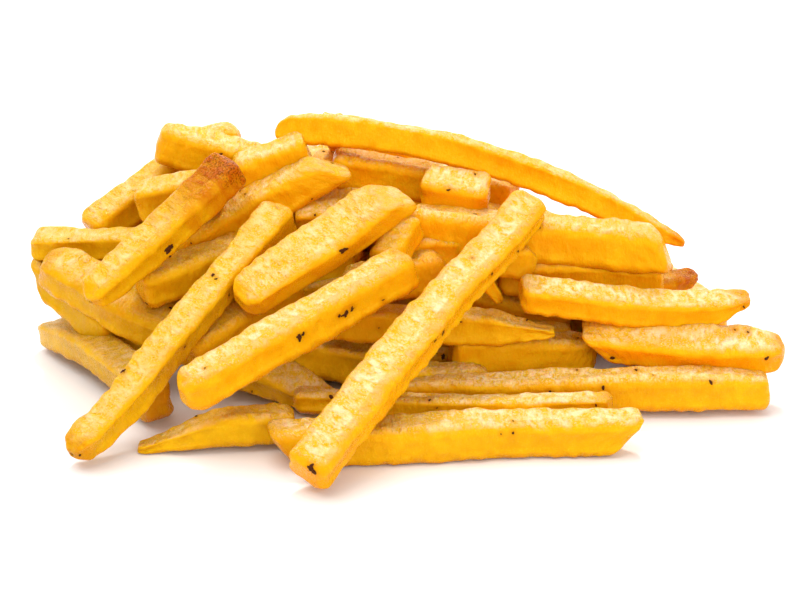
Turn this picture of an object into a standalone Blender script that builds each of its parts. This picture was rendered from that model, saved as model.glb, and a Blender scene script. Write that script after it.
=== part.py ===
"""A heap of french fries as it lies on a table, modelled for Blender 4.5 in metres with +Z up.

The heap is one solid. Each fry is a chamfered bar, bent and cut like a real one. The fries that the
photograph shows are laid out from where their ends appear in it and how high they lie. The fries at
the back follow a rule. All of them settle on each other, on a small core and on the table, and one
union then joins them. The origin is on the table under the middle of the heap. +X runs along the
heap's length, to the right as photographed, and +Y runs away from the camera.
"""

import math
from collections import namedtuple

import bmesh
import bpy
import numpy as np
from mathutils import Matrix, Vector

MM = 0.001

# The camera that took the photograph, worked out from how much of each fry's top shows
PICTURE_MIDDLE = (400, 300)
PIXELS_PER_MM = 4.35
VIEW_DISTANCE = 620
VIEW_ELEVATION = math.radians(23)
VIEW_HEIGHT = 22

# Sizes in millimetres
FRY_SIDE = 9.2
CORE_LENGTH = 100
CORE_DEPTH = 42
CORE_HEIGHT = 32
CORE_MIDDLE = (-4, 20)
BITE = 0.5

# The back of the heap: how many fries lie in each layer, how far the rings reach and how high they
# would close, how unevenly the fries lie on them and how thick they are. LEANING is the long fries
# that lean on the rings, with their places as shares of the rings' reach. FILLING is the fries over
# the front of the core
BACK_COUNTS = (5, 5, 4, 4, 2)
BACK_MIDDLE = (-5, 18)
BACK_REACH = (70, 34)
BACK_TOP = 60
BACK_TURN = 18
BACK_LENGTHS = (48, 84)
BACK_SPARE = 9
BACK_SHIFT = 0.2
BACK_RISE = 0.12
BACK_WIDTHS = (8.4, 10.4)
BACK_THICKNESSES = (8.2, 9.8)
BACK_SPAN = (-82, 74)
BACK_LIMIT = 66
BACK_SEED = 12
LEANING = 5
LEANING_FOOT = 1.25
LEANING_HEAD = 0.45
LEANING_TURN = 0.7
FILLING = 4
FILLING_STEP = 26
FILLING_PLACE = 11

# The heap's outline in the photograph, as pixels across and down, and how far below it the back stays
SKYLINE = (
    (20, 60, 100, 158, 190, 222, 245, 275, 300, 480, 530, 545, 640, 668, 690, 752, 790),
    (262, 235, 200, 124, 132, 124, 142, 134, 112, 140, 185, 224, 226, 262, 290, 302, 335),
)
SKYLINE_CLEAR = 24

# How the heap settles. SHOWN_WEIGHT says how much less a fry that the photograph shows gives way
# than one at the back, and AWAY is the way in which it pushes those back
SETTLE_STEPS = 800
SINK = 0.03
SOFT = 0.4
SIGHT_HOLD = 0.9
KEEP = 0.01
ON_TABLE = 7
SHOWN_WEIGHT = 4
AWAY = (0, -0.5, 0.2)
CHECKED_PLACES = (0.05, 0.3, 0.5, 0.7, 0.95)

# The rings of a fry with few faces, and where its long edges are chamfered
RINGS = (0, 0.04, 0.24, 0.5, 0.76, 0.96, 1)
EDGE = 0.7

# How far in millimetres the top of a slanting end is drawn in or stands out, and how far in that starts
SHEAR = {"slant": -8.0, "under": 8.0, "lean": 5.0}
SHEAR_REACH = 16

# Moves the middle of the heap's box onto the origin, in millimetres
HEAP_SHIFT = (-0.2, -5.2, 0)

# The core's base is the heap's lowest face, and the fries end this many metres above it
OVER_TABLE = 0.0003

FRY_COLOUR = (0.87, 0.55, 0.12, 1.0)

Fry = namedtuple("Fry", "left right rise side roll bow ends taper")
PLAIN = ("cut", "cut")
EVEN = (1, 1)


def fry(left, right, rise, side=(FRY_SIDE, FRY_SIDE), roll=0, bow=(0, 0), ends=PLAIN, taper=EVEN):
    """A fry that the photograph shows.

    left and right are the pixels where its two ends' middles appear, rise is how high those lie,
    side is its width and thickness, roll turns it round its own length in degrees, bow is how far
    its middle stands sideways and up, ends says how each end is cut, and taper how thick it is there.
    """
    return Fry(left, right, rise, side, roll, bow, ends, taper)


SHOWN = {
    "front_diagonal": fry((303, 472), (531, 202), (6, 41), (10, 7.6), roll=18, taper=(1.12, 0.95)),
    "front_second": fry((182, 397), (408, 264), (13, 31), (10.2, 9.1), roll=5, ends=("round", "cut")),
    "left_long": fry(
        (70, 455), (283, 212), (3.8, 38), (8.6, 7.8),
        roll=12, bow=(-1.5, 1), ends=("round", "cut"), taper=(0.85, 1),
    ),
    "middle_broad": fry((240, 305), (396, 195), (25, 42), (11.6, 7), roll=16, ends=("round", "under")),
    "browned_end": fry(
        (92, 305), (233, 163), (25, 50), (9.2, 7.4), roll=8, ends=("round", "cut"), taper=(0.88, 1.05),
    ),
    "slanting_top": fry((180, 255), (332, 165), (30, 46), (10.5, 9), ends=("cut", "under")),
    "blunt_left": fry((139, 287), (255, 250), (24, 31), (9.6, 9.4)),
    "top_left": fry((157, 141), (274, 170), (48, 43), (9, 9)),
    "top_left_rear": fry((165, 151), (240, 139), (41, 45), (10, 9), ends=("cut", "round")),
    "top_middle_rear": fry((236, 176), (308, 150), (43, 49)),
    "left_slope_upper": fry((92, 234), (192, 156), (27, 41.5), (9.5, 9)),
    "left_slope_lower": fry((98, 232), (180, 209), (26, 34), (9.5, 9), ends=("under", "cut")),
    "left_slope_short": fry((137, 202), (222, 186), (38, 41), (9, 9)),
    "left_pointing": fry((33, 243), (150, 244), (28, 29), (9, 6)),
    "left_round_end": fry((46, 264), (205, 345), (25, 13), (11.8, 8.8), roll=14, ends=("round", "cut")),
    "left_lowest": fry((43, 275), (118, 335), (22.5, 12), (9.5, 9), ends=("slant", "cut")),
    "floor_left": fry(
        (45, 330), (160, 410), (4.2, 5), (9.5, 8.4),
        roll=10, bow=(1.5, 3), ends=("round", "round"), taper=(0.72, 1),
    ),
    "floor_tapered": fry((137, 437), (296, 421), (3.6, 5.4), (7.4, 7.6), bow=(0, 1), ends=("wedge", "cut")),
    "front_floor": fry((281, 444), (630, 429), (4.8, 4.8), (9.4, 9.4), ends=("slant", "slant")),
    "front_thin": fry(
        (293, 398), (613, 401), (10, 9), (7.8, 5), roll=-8, bow=(0, -1.2), taper=(1.05, 0.75),
    ),
    "right_floor": fry((400, 394), (768, 391), (5, 5), (9, 9), bow=(0, 1), taper=(0.75, 1)),
    "right_upper": fry(
        (594, 338), (785, 351), (13.2, 13.2), (9.6, 7.2), roll=20, ends=("slant", "round"),
    ),
    "right_third": fry(
        (519, 294), (748, 306), (22, 19.6), (9, 7.7), roll=12, bow=(0, -1.3), ends=("cut", "keel"),
    ),
    "right_thick": fry((410, 228), (666, 251), (32, 28), (9, 10.2), ends=("cut", "lean")),
    "right_under": fry((500, 272), (664, 279), (22, 21), (9, 8)),
    "right_brown_tip": fry((600, 296), (696, 283), (18, 19), (8, 6.5), ends=("cut", "keel")),
    "top_long": fry(
        (275, 129), (682, 250), (53.5, 27.4), (6.4, 6.8),
        roll=-12, bow=(0, 7.4), ends=("round", "keel"), taper=(1.05, 0.75),
    ),
    "top_behind": fry((330, 125), (350, 147), (51, 38), (6, 7.4)),
    "top_under": fry((332, 168), (432, 181), (45, 42), (9, 9)),
    "top_block": fry((422, 185), (490, 196), (42, 40), (9.8, 7.4), roll=22),
    "top_block_right": fry((450, 175), (514, 197), (38, 36), (8, 8)),
    "middle_pale_upper": fry((306, 208), (385, 205), (36.5, 37), (8, 7.6), roll=15),
    "middle_pale_lower": fry((294, 221), (370, 214), (35.5, 37), (7.4, 7), roll=15),
    "middle_stub": fry((385, 266), (410, 220), (26, 34), (8, 8)),
    "middle_round_end": fry((345, 290), (446, 270), (20, 24), (9, 9.8), ends=("cut", "round")),
    "middle_thin": fry((400, 250), (485, 252), (27, 27), (8, 7)),
    "centre_long": fry((325, 318), (554, 330), (17, 16), (8, 7.6), ends=("cut", "point")),
    "centre_floor": fry((405, 381), (490, 377), (6, 6), (9, 8), ends=("cut", "round")),
    "centre_right": fry((450, 350), (597, 353), (10, 10), (9, 9), ends=("cut", "round")),
    "centre_dark": fry((285, 350), (385, 368), (9, 8), (9, 9)),
    "front_low_left": fry((225, 366), (338, 389), (8, 8), (10.5, 8.4), roll=18, ends=("cut", "wedge")),
    "under_left_pair": fry((190, 358), (300, 290), (12, 22), (9, 9)),
    "stub_facing": fry((484, 268), (509, 293), (26, 22), (8, 8), ends=("cut", "wedge")),
    "stub_round": fry((468, 250), (537, 262), (28, 26), (8, 8), ends=("cut", "round")),
}

UPWARD = np.array([0, math.sin(VIEW_ELEVATION), math.cos(VIEW_ELEVATION)])
TO_CAMERA = np.array([0, -math.cos(VIEW_ELEVATION), math.sin(VIEW_ELEVATION)])
CAMERA = np.array([0, 0, VIEW_HEIGHT]) + VIEW_DISTANCE * TO_CAMERA


def line_of_sight(pixel):
    """The direction in which the camera sees a pixel."""
    across = (pixel[0] - PICTURE_MIDDLE[0]) / PIXELS_PER_MM
    above = (PICTURE_MIDDLE[1] - pixel[1]) / PIXELS_PER_MM
    way = np.array([across, 0, 0]) + above * UPWARD - VIEW_DISTANCE * TO_CAMERA
    return way / np.linalg.norm(way)


def seen_at(pixel, height):
    """The point at this height that shows at this pixel."""
    way = line_of_sight(pixel)
    return CAMERA + way * (height - CAMERA[2]) / way[2]


def closest(p1, q1, p2, q2):
    """How far along two straight axes, from 0 to 1, they come closest."""
    d1, d2, r = q1 - p1, q2 - p2, p1 - p2
    a, e, f = (d1 * d1).sum(-1), (d2 * d2).sum(-1), (d2 * r).sum(-1)
    b, c = (d1 * d2).sum(-1), (d1 * r).sum(-1)
    spread = np.maximum(a * e - b * b, 1e-9)
    s = np.clip((b * f - c * e) / spread, 0, 1)
    t = np.clip((b * s + f) / e, 0, 1)
    s = np.clip((b * t - c) / a, 0, 1)
    return s, t


def back_fries():
    """The fries behind the ones that the photograph shows. Rings of them lie round the core and
    shrink with height, each fry turned a little from its ring. A few long ones lean on the rings, and
    others fill the heap over the front of the core.
    Returns left ends, right ends and sides."""
    draw = np.random.default_rng(BACK_SEED)
    found = []
    for layer, count in enumerate(BACK_COUNTS):
        height = FRY_SIDE * (layer + 0.5)
        share = math.sqrt(1 - height / BACK_TOP)
        for k in range(count):
            angle = math.pi * (k + 0.5 + draw.uniform(-BACK_SHIFT, BACK_SHIFT)) / count
            heading = math.atan2(BACK_REACH[1] * math.cos(angle), -BACK_REACH[0] * math.sin(angle))
            heading += math.radians(draw.uniform(-BACK_TURN, BACK_TURN))
            half = draw.uniform(*BACK_LENGTHS) / 2
            way = np.array([math.cos(heading), math.sin(heading), draw.uniform(-BACK_RISE, BACK_RISE)])
            room = max(BACK_REACH[0] * share + BACK_SPARE - half * abs(way[0]), 0)
            middle = on_ring(angle, share, height)
            middle[0] = BACK_MIDDLE[0] + np.clip(middle[0] - BACK_MIDDLE[0], -room, room)
            found.append((middle - half * way, middle + half * way))
    for k in range(LEANING):
        angle = math.pi * (k + 1) / (LEANING + 1)
        foot = on_ring(angle, LEANING_FOOT, FRY_SIDE / 2)
        turned = angle + draw.uniform(-LEANING_TURN, LEANING_TURN)
        head = on_ring(turned, LEANING_HEAD, BACK_TOP * (1 - LEANING_HEAD))
        found.append((foot, head) if foot[0] < head[0] else (head, foot))
    for k in range(FILLING):
        across = CORE_MIDDLE[0] + FILLING_STEP * (k - (FILLING - 1) / 2)
        middle = np.array([across, FILLING_PLACE, CORE_HEIGHT])
        heading = math.radians(BACK_TURN) * (-1) ** k
        way = np.array([math.cos(heading), math.sin(heading), 0]) * BACK_LENGTHS[0] / 2
        found.append((middle - way, middle + way))
    sides = [(draw.uniform(*BACK_WIDTHS), draw.uniform(*BACK_THICKNESSES)) for _ in found]
    return [(*ends, side) for ends, side in zip(found, sides)]


def on_ring(angle, share, height):
    """A point of the rings at the back: angle 0 is on the right and a quarter turn is at the back."""
    return np.array([
        BACK_MIDDLE[0] + BACK_REACH[0] * share * math.cos(angle),
        BACK_MIDDLE[1] + BACK_REACH[1] * share * math.sin(angle),
        height,
    ])


def above_skyline(point):
    """How many millimetres these points stand above the heap's outline in the photograph."""
    seen = point - CAMERA
    scale = PIXELS_PER_MM * VIEW_DISTANCE / -(seen @ TO_CAMERA)
    across = PICTURE_MIDDLE[0] + seen[:, 0] * scale
    down = PICTURE_MIDDLE[1] - (seen @ UPWARD) * scale
    return np.clip(np.interp(across, *SKYLINE) + SKYLINE_CLEAR - down, 0, None) / scale


def settled(left, right, half, sight):
    """Lets the fries sink until they lie on each other, on the core and on the table.

    A pair of fries that runs into each other is pushed apart where their axes come closest. A fry
    that the photograph shows only moves nearer to the camera or further away, along its two lines
    of sight, and an end that it shows on the table stays there.
    """
    shown = len(sight[0])
    length = np.linalg.norm(right - left, axis=1)
    first = left.copy(), right.copy()
    upright = np.array([0, 0, 1.0])
    weight = np.where(np.arange(len(left)) < shown, SHOWN_WEIGHT, 1.0)
    a, b = np.triu_indices(len(left), 1)
    share_a = (weight[b] / (weight[a] + weight[b]))[:, None]
    s, t = closest(left[a], right[a], left[b], right[b])
    nearest_a = left[a] + s[:, None] * (right - left)[a]
    nearest_b = left[b] + t[:, None] * (right - left)[b]
    ahead = (nearest_a - nearest_b) @ TO_CAMERA
    both = ((a < shown) & (b < shown))[:, None]
    one = ((a < shown) & (b >= shown))[:, None]
    aim = np.where(both, np.sign(ahead)[:, None] * TO_CAMERA, np.where(one, np.array(AWAY), 0))
    for _ in range(SETTLE_STEPS):
        for ends in (left, right):
            ends[:, 2] -= SINK
        s, t = (x[:, None] for x in closest(left[a], right[a], left[b], right[b]))
        gap = left[a] + s * (right - left)[a] - left[b] - t * (right - left)[b]
        wide = np.linalg.norm(gap, axis=1, keepdims=True)
        way = gap / np.maximum(wide, 0.5) + 2 * aim
        way /= np.maximum(np.linalg.norm(way, axis=1, keepdims=True), 0.01)
        push = SOFT * np.clip((half[a] + half[b] - BITE)[:, None] - wide, 0, None) * way
        for ends, along in ((left, 0), (right, 1)):
            np.add.at(ends, a, push * share_a * np.abs(1 - along - s))
            np.add.at(ends, b, -push * (1 - share_a) * np.abs(1 - along - t))
        for along in CHECKED_PLACES:
            over = above_skyline((left + along * (right - left))[shown:])[:, None] * SOFT * upright
            left[shown:] -= over * (1 - along)
            right[shown:] -= over * along
            out = pushed_from_core(left + along * (right - left), half)
            left += out * (1 - along) * SOFT
            right += out * along * SOFT
        stretch = (right - left) * (1 - length / np.linalg.norm(right - left, axis=1))[:, None] / 2
        left += stretch * 0.5
        right -= stretch * 0.5
        for ends, ways, start in zip((left, right), sight, first):
            seen = ends[:shown]
            reach = ((seen - CAMERA) * ways).sum(1, keepdims=True)
            seen += SIGHT_HOLD * (CAMERA + reach * ways - seen)
            ends += KEEP * (start - ends)
            on_table = start[:shown, 2] < ON_TABLE
            seen[on_table] = start[:shown][on_table]
            ends[shown:, 0] = np.clip(ends[shown:, 0], *BACK_SPAN)
            ends[shown:, 1] = np.minimum(ends[shown:, 1], BACK_LIMIT)
            ends[:, 2] = np.maximum(ends[:, 2], half)
    return left, right


def pushed_from_core(point, half):
    """How far each of these points has to move to lie half a fry outside the core."""
    middle = np.array([*CORE_MIDDLE, 0])
    reach = np.array([CORE_LENGTH / 2, CORE_DEPTH / 2, CORE_HEIGHT]) + half[:, None]
    from_middle = point - middle
    ratio = np.linalg.norm(from_middle / reach, axis=1, keepdims=True)
    return from_middle * np.clip(1 / np.maximum(ratio, 0.3) - 1, 0, 0.4)


def laid_out():
    """Every fry of the heap where it lies: its two ends in millimetres, and the rest of its form."""
    rows = list(SHOWN.values())
    back = back_fries()
    left = np.array([seen_at(f.left, f.rise[0]) for f in rows] + [b[0] for b in back])
    right = np.array([seen_at(f.right, f.rise[1]) for f in rows] + [b[1] for b in back])
    sides = [f.side for f in rows] + [b[2] for b in back]
    half = np.array([sum(side) / 4 for side in sides])
    sight_left = np.array([line_of_sight(f.left) for f in rows])
    sight_right = np.array([line_of_sight(f.right) for f in rows])
    left, right = settled(left, right, half, (sight_left, sight_right))
    forms = [(f.roll, f.bow, f.ends, f.taper) for f in rows] + [(0, (0, 0), PLAIN, EVEN)] * len(back)
    return [(left[k], right[k], sides[k], *forms[k]) for k in range(len(sides))]


def ramp(distance, reach):
    """Rises smoothly from 0 at the end of a fry to 1 this far in."""
    x = np.clip(distance / reach, 0, 1)
    return x * x * (3 - 2 * x)


def end_form(kind, distance):
    """How an end is cut: the shares of its width, its top and its bottom that are left this far in.

    A wedge slopes down to the tip, a keel slopes up to it, a point narrows from all sides, and a
    round end is narrower all round. The other kinds are cut off flat, straight or aslant as SHEAR says.
    """
    trim = 0.86 + 0.14 * ramp(distance, 1.6)
    wide, top, bottom = trim, trim, trim
    if kind == "wedge":
        top = trim * (-0.35 + 1.35 * ramp(distance, 22))
        wide = trim * (0.55 + 0.45 * ramp(distance, 14))
    elif kind == "keel":
        bottom = trim * (-0.3 + 1.3 * ramp(distance, 10))
        wide = trim * (0.7 + 0.3 * ramp(distance, 8))
    elif kind == "point":
        wide = trim * (0.35 + 0.65 * ramp(distance, 16))
        bottom = trim * (0.3 + 0.7 * ramp(distance, 18))
        top = bottom
    elif kind == "round":
        wide = trim * (0.66 + 0.34 * ramp(distance, 6))
        top, bottom = wide, wide
    return wide, top, bottom


def points_on(left, right, side, roll, bow, ends, taper, t, u, v):
    """Points of a fry's surface: t runs along it from 0 to 1, and u and v across it from -1 to 1."""
    length = np.linalg.norm(right - left)
    along = (right - left) / length
    across = np.cross([0, 0, 1], along)
    across /= np.linalg.norm(across)
    up = np.cross(along, across)
    turn = math.radians(roll)
    across, up = (math.cos(turn) * across + math.sin(turn) * up,
                  math.cos(turn) * up - math.sin(turn) * across)
    wide_a, top_a, bottom_a = end_form(ends[0], t * length)
    wide_b, top_b, bottom_b = end_form(ends[1], (1 - t) * length)
    wide = wide_a * wide_b
    top = np.minimum(top_a, top_b)
    bottom = np.minimum(bottom_a, bottom_b)
    lift = (v + 1) / 2
    rise = lift * (top + bottom) - bottom
    thick = 1 + (taper[0] - 1) * (1 - t) ** 2 + (taper[1] - 1) * t ** 2
    lean = ((lift - 0.5) * SHEAR.get(ends[0], 0) * (1 - ramp(t * length, SHEAR_REACH))
            - (lift - 0.5) * SHEAR.get(ends[1], 0) * (1 - ramp((1 - t) * length, SHEAR_REACH)))
    arch = 4 * t * (1 - t)
    return (left + np.outer(t * length + lean, along)
            + np.outer(u * wide * thick * side[0] / 2 + arch * bow[0], across)
            + np.outer(rise * thick * side[1] / 2 + arch * bow[1], up))


def fry_mesh(name, form):
    """A fry with few faces: eight-sided rings along its length and a flat cap at each end."""
    corners = [(1, EDGE), (EDGE, 1), (-EDGE, 1), (-1, EDGE)]
    corners += [(-u, -v) for u, v in corners]
    t = np.repeat(RINGS, len(corners))
    u, v = np.tile(np.array(corners, float), (len(RINGS), 1)).T
    places = points_on(*form, t, u, v) * MM
    places[:, 2] = np.maximum(places[:, 2], OVER_TABLE)
    bm = bmesh.new()
    verts = [bm.verts.new(p) for p in places]
    rings = [verts[k:k + len(corners)] for k in range(0, len(verts), len(corners))]
    for ring, following in zip(rings, rings[1:]):
        for k in range(len(corners)):
            nearby = (k + 1) % len(corners)
            bm.faces.new((ring[k], ring[nearby], following[nearby], following[k]))
    bm.faces.new(rings[0][::-1])
    bm.faces.new(rings[-1])
    bmesh.ops.recalc_face_normals(bm, faces=bm.faces)
    mesh = bpy.data.meshes.new(name)
    bm.to_mesh(mesh)
    bm.free()
    return mesh


def core_mesh():
    """The inside of the heap: a low dome with a flat base on the table."""
    bm = bmesh.new()
    bmesh.ops.create_uvsphere(bm, u_segments=20, v_segments=10, radius=1)
    size = Vector((CORE_LENGTH / 2, CORE_DEPTH / 2, CORE_HEIGHT)) * MM
    bmesh.ops.scale(bm, vec=size, verts=bm.verts)
    below = [v for v in bm.verts if v.co.z < -CORE_HEIGHT * MM / 100]
    bmesh.ops.delete(bm, geom=below, context="VERTS")
    bmesh.ops.holes_fill(bm, edges=[e for e in bm.edges if e.is_boundary], sides=0)
    bmesh.ops.translate(bm, vec=(CORE_MIDDLE[0] * MM, CORE_MIDDLE[1] * MM, 0), verts=bm.verts)
    bmesh.ops.recalc_face_normals(bm, faces=bm.faces)
    mesh = bpy.data.meshes.new("core")
    bm.to_mesh(mesh)
    bm.free()
    return mesh


def fried_potato():
    """Principled material of the golden crust."""
    material = bpy.data.materials.new("fried_potato")
    material.use_nodes = True
    shader = material.node_tree.nodes["Principled BSDF"]
    shader.inputs["Base Color"].default_value = FRY_COLOUR
    shader.inputs["Roughness"].default_value = 0.45
    shader.inputs["Metallic"].default_value = 0.0
    return material


def largest_body(mesh):
    """Keeps the outer shell and drops loose scraps and the hollows that the union sealed."""
    bm = bmesh.new()
    bm.from_mesh(mesh)
    left_over, bodies = set(bm.verts), []
    while left_over:
        body, todo = set(), [left_over.pop()]
        while todo:
            vert = todo.pop()
            body.add(vert)
            for edge in vert.link_edges:
                other = edge.other_vert(vert)
                if other in left_over:
                    left_over.remove(other)
                    todo.append(other)
        bodies.append(body)
    keep = max(bodies, key=len)
    bmesh.ops.delete(bm, geom=[v for v in bm.verts if v not in keep], context="VERTS")
    bm.to_mesh(mesh)
    bm.free()
    return sorted((len(body) for body in bodies), reverse=True)


def main():
    for old in list(bpy.data.objects):
        bpy.data.objects.remove(old)
    loose = bpy.data.collections.new("loose_fries")
    bpy.context.scene.collection.children.link(loose)
    for number, form in enumerate(laid_out()):
        name = f"fry_{number:02d}"
        loose.objects.link(bpy.data.objects.new(name, fry_mesh(name, form)))
    heap = bpy.data.objects.new("fries", core_mesh())
    bpy.context.scene.collection.objects.link(heap)
    join = heap.modifiers.new("join", "BOOLEAN")
    join.operation = "UNION"
    join.operand_type = "COLLECTION"
    join.collection = loose
    join.solver = "EXACT"
    bpy.context.view_layer.update()
    graph = bpy.context.evaluated_depsgraph_get()
    joined = bpy.data.meshes.new_from_object(heap.evaluated_get(graph))
    heap.modifiers.clear()
    heap.data = joined
    joined.materials.clear()
    joined.materials.append(fried_potato())
    bodies = largest_body(joined)
    joined.transform(Matrix.Translation(Vector(HEAP_SHIFT) * MM))
    for old in list(loose.objects):
        bpy.data.objects.remove(old)
    bpy.data.collections.remove(loose)
    corners = [v.co for v in joined.vertices]
    low, high = (tuple(round(f(c[k] for c in corners) / MM, 1) for k in range(3)) for f in (min, max))
    print(f"{len(joined.vertices)} corners, {bodies} bodies before the clean-up, {low} to {high} mm")


main()
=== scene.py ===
# %% [markdown]
# # A heap of french fries
#
# The heap lies loose on a white table, as the photograph shows it: about forty fries that the
# camera sees, and the ones behind them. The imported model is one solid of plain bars. This notebook
# lays out the same fries in the same places and gives each one a crust: sunken faces, proud edges,
# blisters, browned ends and charred flecks. Lengths are in millimetres until a mesh is made.

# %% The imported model
import math
from collections import namedtuple

import bmesh
import bpy
import numpy as np
from mathutils import Matrix, Vector
from mathutils.bvhtree import BVHTree


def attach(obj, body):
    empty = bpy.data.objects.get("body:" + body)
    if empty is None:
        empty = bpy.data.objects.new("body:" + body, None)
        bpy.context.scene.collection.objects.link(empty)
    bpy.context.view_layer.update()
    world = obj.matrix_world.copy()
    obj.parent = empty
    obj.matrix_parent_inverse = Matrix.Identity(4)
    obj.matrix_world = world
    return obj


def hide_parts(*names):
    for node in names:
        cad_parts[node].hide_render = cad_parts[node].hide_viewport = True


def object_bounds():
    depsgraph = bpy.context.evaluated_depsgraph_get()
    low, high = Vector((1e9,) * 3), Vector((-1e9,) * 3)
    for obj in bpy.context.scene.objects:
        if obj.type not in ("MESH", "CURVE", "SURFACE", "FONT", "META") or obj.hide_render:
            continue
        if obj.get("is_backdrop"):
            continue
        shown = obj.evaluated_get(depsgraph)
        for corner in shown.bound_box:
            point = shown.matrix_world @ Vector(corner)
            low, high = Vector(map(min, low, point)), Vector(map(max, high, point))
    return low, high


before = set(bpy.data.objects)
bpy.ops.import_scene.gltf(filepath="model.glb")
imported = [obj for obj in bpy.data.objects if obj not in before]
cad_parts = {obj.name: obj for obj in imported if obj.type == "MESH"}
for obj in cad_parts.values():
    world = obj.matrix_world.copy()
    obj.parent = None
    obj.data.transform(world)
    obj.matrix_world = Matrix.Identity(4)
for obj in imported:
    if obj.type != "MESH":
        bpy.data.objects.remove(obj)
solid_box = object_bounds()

MM = 0.001
print("the packed heap measures", [round((b - a) / MM, 1) for a, b in zip(*solid_box)], "mm")

# %% [markdown]
# ## Where the fries lie
#
# Each fry that the photograph shows is written as the two pixels where its ends appear and how high
# those ends lie. The camera turns that into a place. The fries at the back follow a rule. Then all of
# them settle: they sink, push each other apart, and stay on their lines of sight. These are the same
# steps and the same numbers as in the part's source, so the crusted fries lie where the solid is.
#
# The camera comes first. It is worked out from how much of each fry's top shows, and it stands so far
# away that its lines of sight are nearly parallel.

# %% From a pixel to a place
PICTURE_MIDDLE = (400, 300)
PIXELS_PER_MM = 4.35
VIEW_DISTANCE = 620
VIEW_ELEVATION = math.radians(23)
VIEW_HEIGHT = 22
UPWARD = np.array([0, math.sin(VIEW_ELEVATION), math.cos(VIEW_ELEVATION)])
TO_CAMERA = np.array([0, -math.cos(VIEW_ELEVATION), math.sin(VIEW_ELEVATION)])
CAMERA = np.array([0, 0, VIEW_HEIGHT]) + VIEW_DISTANCE * TO_CAMERA


def line_of_sight(pixel):
    """The direction in which the camera sees a pixel."""
    across = (pixel[0] - PICTURE_MIDDLE[0]) / PIXELS_PER_MM
    above = (PICTURE_MIDDLE[1] - pixel[1]) / PIXELS_PER_MM
    way = np.array([across, 0, 0]) + above * UPWARD - VIEW_DISTANCE * TO_CAMERA
    return way / np.linalg.norm(way)


def seen_at(pixel, height):
    """The point at this height that shows at this pixel."""
    way = line_of_sight(pixel)
    return CAMERA + way * (height - CAMERA[2]) / way[2]


print("the middle of the picture shows the point", seen_at(PICTURE_MIDDLE, VIEW_HEIGHT).round(1))

# %% [markdown]
# A fry is its two ends, its thickness, and how it is turned, bent, cut and tapered. The fries could be
# placed by hand in Blender's view. A table of them is quicker to set against the photograph, and the
# part's source can hold the same one.

# %% The fries that the photograph shows
FRY_SIDE = 9.2
Fry = namedtuple("Fry", "left right rise side roll bow ends taper")
PLAIN = ("cut", "cut")
EVEN = (1, 1)


def fry(left, right, rise, side=(FRY_SIDE, FRY_SIDE), roll=0, bow=(0, 0), ends=PLAIN, taper=EVEN):
    """A fry that the photograph shows.

    left and right are the pixels where its two ends' middles appear, rise is how high those lie,
    side is its width and thickness, roll turns it round its own length in degrees, bow is how far
    its middle stands sideways and up, ends says how each end is cut, and taper how thick it is there.
    """
    return Fry(left, right, rise, side, roll, bow, ends, taper)


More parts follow.
